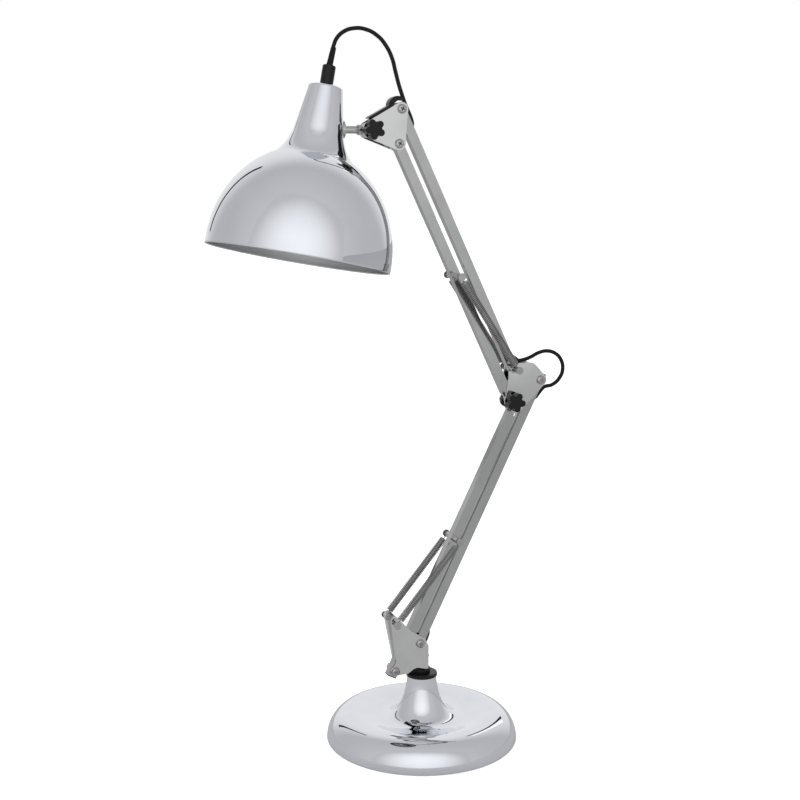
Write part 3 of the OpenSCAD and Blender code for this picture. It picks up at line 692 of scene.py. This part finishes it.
# %% Moulded grain
def make_grain():
    group, start, end = effect(
        "moulded_grain",
        [("Depth", "NodeSocketFloat", 0.3), ("Fresh Roughness", "NodeSocketFloat", 0.5),
         ("Polished Roughness", "NodeSocketFloat", 0.35)],
        [("Height", "NodeSocketFloat"), ("Roughness", "NodeSocketFloat")])
    fine = noise(group, 2600, 2, (-300, 200))
    wide = noise(group, 90, 4, (-300, -200))
    depth = group.nodes.new("ShaderNodeMath")
    depth.operation = "MULTIPLY"
    depth.location = (100, 200)
    mask = span(group, wide.outputs["Fac"], 0.4, 0.65, (-100, -200))
    rough = group.nodes.new("ShaderNodeMix")
    rough.location = (300, -150)
    group.links.new(fine.outputs["Fac"], depth.inputs[0])
    group.links.new(start.outputs["Depth"], depth.inputs[1])
    group.links.new(mask.outputs["Result"], rough.inputs["Factor"])
    group.links.new(start.outputs["Fresh Roughness"], rough.inputs["A"])
    group.links.new(start.outputs["Polished Roughness"], rough.inputs["B"])
    group.links.new(depth.outputs["Value"], end.inputs["Height"])
    group.links.new(rough.outputs["Result"], end.inputs["Roughness"])
    return group


# %% [markdown]
# Corners are rubbed first. The Geometry node's Pointiness is high along outside edges, so with
# a noise to break it up it makes a mask for where the finish has worn.

# %% Edge wear
def make_edge_wear():
    group, start, end = effect(
        "edge_wear",
        [("Whole Colour", "NodeSocketColor", (0.1, 0.1, 0.1, 1)),
         ("Worn Colour", "NodeSocketColor", (0.2, 0.2, 0.2, 1)),
         ("Amount", "NodeSocketFloat", 0.5)],
        [("Colour", "NodeSocketColor"), ("Mask", "NodeSocketFloat")])
    shape = group.nodes.new("ShaderNodeNewGeometry")
    shape.location = (-500, 200)
    edges = span(group, shape.outputs["Pointiness"], 0.52, 0.62, (-300, 200))
    broken = noise(group, 420, 4, (-300, -150))
    chips = span(group, broken.outputs["Fac"], 0.4, 0.6, (-100, -150))
    both = group.nodes.new("ShaderNodeMath")
    both.operation = "MULTIPLY"
    both.location = (100, 100)
    amount = group.nodes.new("ShaderNodeMath")
    amount.operation = "MULTIPLY"
    amount.location = (250, 100)
    tone = group.nodes.new("ShaderNodeMix")
    tone.data_type = "RGBA"
    tone.location = (450, 100)
    group.links.new(edges.outputs["Result"], both.inputs[0])
    group.links.new(chips.outputs["Result"], both.inputs[1])
    group.links.new(both.outputs["Value"], amount.inputs[0])
    group.links.new(start.outputs["Amount"], amount.inputs[1])
    group.links.new(amount.outputs["Value"], tone.inputs["Factor"])
    group.links.new(start.outputs["Whole Colour"], tone.inputs["A"])
    group.links.new(start.outputs["Worn Colour"], tone.inputs["B"])
    group.links.new(tone.outputs["Result"], end.inputs["Colour"])
    group.links.new(amount.outputs["Value"], end.inputs["Mask"])
    return group


# %% [markdown]
# Shade falls where light can't reach: in a screw's cross, under its head and along a fold.
# There the Pointiness is low, so the same idea as edge wear, turned round, makes a mask for
# painted shade: the colour is darkened there to stand in for that shadow.

# %% Painted shade in corners
def make_painted_shade():
    group, start, end = effect(
        "painted_shade_in_corners",
        [("Clean Colour", "NodeSocketColor", (0.6, 0.6, 0.6, 1)),
         ("Grime Colour", "NodeSocketColor", (0.05, 0.05, 0.05, 1)),
         ("Amount", "NodeSocketFloat", 0.8)],
        [("Colour", "NodeSocketColor"), ("Mask", "NodeSocketFloat")])
    shape = group.nodes.new("ShaderNodeNewGeometry")
    shape.location = (-500, 200)
    corners = span(group, shape.outputs["Pointiness"], 0.495, 0.46, (-300, 200))
    amount = group.nodes.new("ShaderNodeMath")
    amount.operation = "MULTIPLY"
    amount.location = (250, 100)
    tone = group.nodes.new("ShaderNodeMix")
    tone.data_type = "RGBA"
    tone.location = (450, 100)
    group.links.new(corners.outputs["Result"], amount.inputs[0])
    group.links.new(start.outputs["Amount"], amount.inputs[1])
    group.links.new(amount.outputs["Value"], tone.inputs["Factor"])
    group.links.new(start.outputs["Clean Colour"], tone.inputs["A"])
    group.links.new(start.outputs["Grime Colour"], tone.inputs["B"])
    group.links.new(tone.outputs["Result"], end.inputs["Colour"])
    group.links.new(amount.outputs["Value"], end.inputs["Mask"])
    return group


SMUDGES = make_smudges()
# Painted shade: near-black colour laid into hollows in place of real shadow.
PAINTED_SHADE = make_painted_shade()
LINES = make_lines()
GRAIN = make_grain()
WEAR = make_edge_wear()
print("effects", [g.name for g in bpy.data.node_groups])

# %% [markdown]
# ## Metals
# Chrome plate is almost a mirror with a slight blue cast. The spun shade and base are buffed
# brightest. Plates and tubes are plated over a duller ground, so they look greyer. Every metal
# takes its colour and roughness from the smudges, and drawn or rolled ones take their lines.
# Most also take painted shade: their colour goes near black in hollows, in place of shadow.

# %% A metal
def new_material(name):
    material = bpy.data.materials.new(name)
    material.use_nodes = True
    return material, material.node_tree, material.node_tree.nodes["Principled BSDF"]


def place(tree, group, at, **values):
    node = tree.nodes.new("ShaderNodeGroup")
    node.node_tree = group
    node.location = at
    for label, value in values.items():
        node.inputs[label.replace("_", " ")].default_value = value
    return node


def bump(tree, surface, height, distance_mm):
    node = tree.nodes.new("ShaderNodeBump")
    node.location = (-250, -300)
    node.inputs["Distance"].default_value = distance_mm * MM
    tree.links.new(height, node.inputs["Height"])
    tree.links.new(node.outputs["Normal"], surface.inputs["Normal"])


def grey(value, blue=1.0):
    return (value, value * (1 + blue) / 2, value * blue, 1)


def metal(name, colour, marked, clean_rough, marked_rough, line_depth=0.0, corner_shade=0.0):
    material, tree, surface = new_material(name)
    surface.inputs["Metallic"].default_value = 1.0
    smudges = place(tree, SMUDGES, (-600, 100), Clean_Roughness=clean_rough,
                    Marked_Roughness=marked_rough, Clean_Colour=colour,
                    Marked_Colour=marked)
    tint = smudges.outputs["Colour"]
    # Painted shade: the colour is darkened towards near black in hollows, standing in for
    # shadow.
    if corner_shade:
        corners = place(tree, PAINTED_SHADE, (-300, 250), Grime_Colour=grey(0.03), Amount=corner_shade)
        tree.links.new(tint, corners.inputs["Clean Colour"])
        tint = corners.outputs["Colour"]
    tree.links.new(tint, surface.inputs["Base Color"])
    tree.links.new(smudges.outputs["Roughness"], surface.inputs["Roughness"])
    if line_depth:
        lines = place(tree, LINES, (-600, -300), Depth=line_depth)
        bump(tree, surface, lines.outputs["Height"], 0.02)
    return material


# A number after the line depth sets how strongly that metal's hollows are darkened as painted
# shade.
METALS = {
    "polished_chrome": metal("polished_chrome", (0.80, 0.82, 0.87, 1), (0.77, 0.79, 0.84, 1),
                             0.025, 0.07),
    "plate_chrome": metal("plate_chrome", grey(0.7, 1.01), grey(0.64, 1.01), 0.06, 0.14, 0.2,
                          0.7),
    "tube_chrome": metal("tube_chrome", grey(0.5, 1.01), grey(0.45, 1.01), 0.1, 0.2, 0.3,
                         0.5),
    "nickel_screw": metal("nickel_screw", grey(0.5, 0.98), grey(0.4, 0.97), 0.06, 0.16, 0.0,
                          0.97),
    "spring_steel": metal("spring_steel", grey(0.3, 1.0), grey(0.24, 0.98), 0.08, 0.16, 0.0,
                          0.9),
    "satin_inside": metal("satin_inside", grey(0.6, 1.02), grey(0.54, 1.02), 0.3, 0.42),
    "steel": metal("steel", grey(0.5, 0.98), grey(0.4, 0.95), 0.3, 0.45, 0.0, 0.6),
    "cast_iron": metal("cast_iron", grey(0.12, 0.95), grey(0.08, 0.9), 0.6, 0.8),
}
print("metals", list(METALS))

# %% [markdown]
# ## Plastics and rubber
# The knobs, the swivel and the lampholder are moulded in black. They aren't quite black: light
# from a bright room makes their edges grey, and those edges are also where wear shows.

# %% A moulded material
def moulded(name, colour, worn, fresh, polished, depth, amount=0.5, shine=0.3):
    material, tree, surface = new_material(name)
    grain = place(tree, GRAIN, (-600, -200), Depth=depth, Fresh_Roughness=fresh,
                  Polished_Roughness=polished)
    wear = place(tree, WEAR, (-600, 200), Whole_Colour=colour, Worn_Colour=worn,
                 Amount=amount)
    tree.links.new(wear.outputs["Colour"], surface.inputs["Base Color"])
    tree.links.new(grain.outputs["Roughness"], surface.inputs["Roughness"])
    surface.inputs["Specular IOR Level"].default_value = shine
    bump(tree, surface, grain.outputs["Height"], 0.03)
    return material


MOULDED = {
    "black_plastic": moulded("black_plastic", grey(0.004), grey(0.02), 0.36, 0.24, 0.4),
    "knob_plastic": moulded("knob_plastic", grey(0.004), grey(0.02), 0.32, 0.2, 0.3),
    "holder_plastic": moulded("holder_plastic", grey(0.014), grey(0.05), 0.5, 0.4, 0.4),
    "black_rubber": moulded("black_rubber", grey(0.007), grey(0.02), 0.7, 0.55, 0.6, 0.3,
                            0.2),
    "black_lead": moulded("black_lead", grey(0.005), grey(0.012), 0.42, 0.3, 0.4, 0.2,
                          0.22),
    "pad_foam": moulded("pad_foam", grey(0.02), grey(0.05), 0.95, 0.85, 1.0, 0.3),
}
print("moulded", list(MOULDED))

# %% Give every piece its material
MATERIALS = METALS | MOULDED
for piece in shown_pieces():
    name = piece.get("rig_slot") or slot_of(piece["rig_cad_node"])
    piece.data.materials.clear()
    piece.data.materials.append(MATERIALS[name])
shade.data.materials.append(MATERIALS["satin_inside"])

# %% [markdown]
# ## The studio
# A mirror shows its room, so the room is what makes chrome look like chrome. This room is mid
# grey, with a soft glow from the front, low down, and a white sweep behind the lamp. The camera
# itself sees plain white: a Light Path node tells camera rays from reflected ones. The glow
# makes the lower front of the shade pale, and the sweep makes the top of the base pale.

# %% Room
ROOM_GREY = 0.54
FLOOR_LIFT = 0.85
front = Vector((math.sin(CAMERA_ROUND), -math.cos(CAMERA_ROUND), 0))


def glow(tree, where, towards, edge, centre, strength):
    dot = tree.nodes.new("ShaderNodeVectorMath")
    dot.operation = "DOT_PRODUCT"
    dot.inputs[1].default_value = towards.normalized()
    ranged = tree.nodes.new("ShaderNodeMapRange")
    ranged.interpolation_type = "SMOOTHSTEP"
    ranged.inputs["From Min"].default_value = edge
    ranged.inputs["From Max"].default_value = centre
    ranged.inputs["To Max"].default_value = strength
    tree.links.new(where, dot.inputs[0])
    tree.links.new(dot.outputs["Value"], ranged.inputs["Value"])
    return ranged.outputs["Result"]


def add(tree, a, b):
    node = tree.nodes.new("ShaderNodeMath")
    tree.links.new(a, node.inputs[0])
    if isinstance(b, float):
        node.inputs[1].default_value = b
    else:
        tree.links.new(b, node.inputs[1])
    return node.outputs["Value"]


def make_sky():
    world = bpy.data.worlds.new("grey_room")
    bpy.context.scene.world = world
    world.use_nodes = True
    tree = world.node_tree
    back = tree.nodes["Background"]
    back.inputs["Color"].default_value = (1, 1, 1, 1)
    where = tree.nodes.new("ShaderNodeTexCoord").outputs["Generated"]
    front_glow = glow(tree, where, front + Vector((0, 0, 0.04)), -0.25, 1.0, 0.12)
    sweep = glow(tree, where, -front + Vector((0, 0, 0.38)), 0.5, 0.95, 0.34)
    ground = glow(tree, where, Vector((0, 0, -1)), 0.0, 0.4, 0.1)
    level = add(tree, add(tree, add(tree, front_glow, sweep), ground), ROOM_GREY)
    path = tree.nodes.new("ShaderNodeLightPath")
    choose = tree.nodes.new("ShaderNodeMix")
    choose.inputs["B"].default_value = 1.0
    tree.links.new(path.outputs["Is Camera Ray"], choose.inputs["Factor"])
    tree.links.new(level, choose.inputs["A"])
    tree.links.new(choose.outputs["Result"], back.inputs["Strength"])


def make_floor():
    bm = bmesh.new()
    bmesh.ops.create_grid(bm, x_segments=1, y_segments=1, size=20)
    floor = piece_from(bm, "studio_floor")
    material, tree, surface = new_material("studio_white")
    surface.inputs["Base Color"].default_value = (0.68, 0.68, 0.68, 1)
    surface.inputs["Roughness"].default_value = 0.9
    surface.inputs["Specular IOR Level"].default_value = 0.0
    surface.inputs["Emission Color"].default_value = (1, 1, 1, 1)
    path = tree.nodes.new("ShaderNodeLightPath")
    lift = tree.nodes.new("ShaderNodeMath")
    lift.operation = "MULTIPLY_ADD"
    lift.inputs[1].default_value = FLOOR_LIFT
    lift.inputs[2].default_value = 0.0
    tree.links.new(path.outputs["Is Camera Ray"], lift.inputs[0])
    tree.links.new(lift.outputs["Value"], surface.inputs["Emission Strength"])
    floor.data.materials.append(material)
    return floor


make_sky()
floor = make_floor()
bpy.context.scene.view_settings.view_transform = "Standard"
print("floor", floor.name)

# %% [markdown]
# Three narrow cards stand behind the lamp. A dark one draws a thin crisp line just inside one
# edge of the shade, as a stand does in a real studio, and a dark and a pale one mark the other
# edge. Cards are hidden from the camera and from shadows, and kept in reflections.

# %% Cards
def card(name, azimuth, distance, width, low, high, tone, glow_strength=0.0):
    bm = bmesh.new()
    bmesh.ops.create_grid(bm, x_segments=1, y_segments=1, size=0.5)
    across = Matrix.Scale(width, 4, (1, 0, 0)) @ Matrix.Scale(high - low, 4, (0, 1, 0))
    stand = Matrix.Rotation(math.pi / 2, 4, "X")
    turn = Matrix.Rotation(azimuth, 4, "Z")
    shift = Matrix.Translation((0, distance, (low + high) / 2))
    bmesh.ops.transform(bm, matrix=turn @ shift @ stand @ across, verts=bm.verts)
    made = piece_from(bm, name)
    material, tree, surface = new_material(name + "_felt")
    surface.inputs["Base Color"].default_value = grey(tone)
    surface.inputs["Roughness"].default_value = 1.0
    surface.inputs["Emission Color"].default_value = (1, 1, 1, 1)
    surface.inputs["Emission Strength"].default_value = glow_strength
    made.data.materials.append(material)
    made.visible_camera = False
    made.visible_shadow = False
    return made


CARDS = [
    card("dark_card_left", CAMERA_ROUND + math.radians(44), 2.6, 0.17, 0.75, 3.2, 0.01),
    card("dark_card_right", CAMERA_ROUND - math.radians(26), 2.6, 0.2, 0.9, 3.2, 0.01),
    card("pale_card_right", CAMERA_ROUND - math.radians(33), 2.6, 0.25, 0.9, 3.2, 0.8, 0.7),
]
print("cards", len(CARDS))

# %% [markdown]
# The largest light is a big soft screen in front of the lamp, brightest in the middle. The
# shade shows it as a pale glow low on its front, and the base shows it along its shoulder.

# %% Front screen
def front_screen(distance=1.6, height=0.88, size=2.5):
    bm = bmesh.new()
    bmesh.ops.create_grid(bm, x_segments=1, y_segments=1, size=size)
    centre = front * distance + Vector((0, 0, height))
    face = Vector((0, 0, 1)).rotation_difference(-front).to_matrix().to_4x4()
    bmesh.ops.transform(bm, matrix=Matrix.Translation(centre) @ face, verts=bm.verts)
    bmesh.ops.bisect_plane(bm, geom=bm.verts[:] + bm.edges[:] + bm.faces[:],
                           plane_co=(0, 0, 0.02), plane_no=(0, 0, 1), clear_inner=True)
    screen = piece_from(bm, "front_screen")
    material, tree, surface = new_material("screen_cloth")
    surface.inputs["Base Color"].default_value = (0, 0, 0, 1)
    surface.inputs["Specular IOR Level"].default_value = 0.0
    surface.inputs["Emission Color"].default_value = (1, 1, 1, 1)
    where = tree.nodes.new("ShaderNodeTexCoord")
    away = tree.nodes.new("ShaderNodeVectorMath")
    away.operation = "DISTANCE"
    away.inputs[1].default_value = centre
    fade = tree.nodes.new("ShaderNodeMapRange")
    fade.interpolation_type = "SMOOTHSTEP"
    fade.inputs["From Min"].default_value = size * 0.98
    fade.inputs["From Max"].default_value = 0.0
    fade.inputs["To Min"].default_value = ROOM_GREY + 0.05
    fade.inputs["To Max"].default_value = 1.1
    tree.links.new(where.outputs["Object"], away.inputs[0])
    tree.links.new(away.outputs["Value"], fade.inputs["Value"])
    tree.links.new(fade.outputs["Result"], surface.inputs["Emission Strength"])
    screen.data.materials.append(material)
    screen.visible_camera = False
    screen.visible_shadow = False
    return screen


print("screen", front_screen().name)

# %% [markdown]
# One softbox, high on the left, lights what isn't a mirror: the plastic, the rubber and the
# floor. It is left out of reflections, so that it draws no hard patch on the chrome.

# %% Key light
def key_light():
    data = bpy.data.lights.new("key_softbox", "AREA")
    data.shape = "RECTANGLE"
    data.size = 0.8
    data.size_y = 1.2
    data.energy = 14
    light = bpy.data.objects.new("key_softbox", data)
    bpy.context.scene.collection.objects.link(light)
    light.location = (-1.7, -1.1, 1.7)
    light.rotation_euler = (Vector((0, 0, 0.35)) - light.location).to_track_quat(
        "-Z", "Y").to_euler()
    return light


softbox = key_light()
softbox.visible_glossy = False
print("key light", softbox.name)
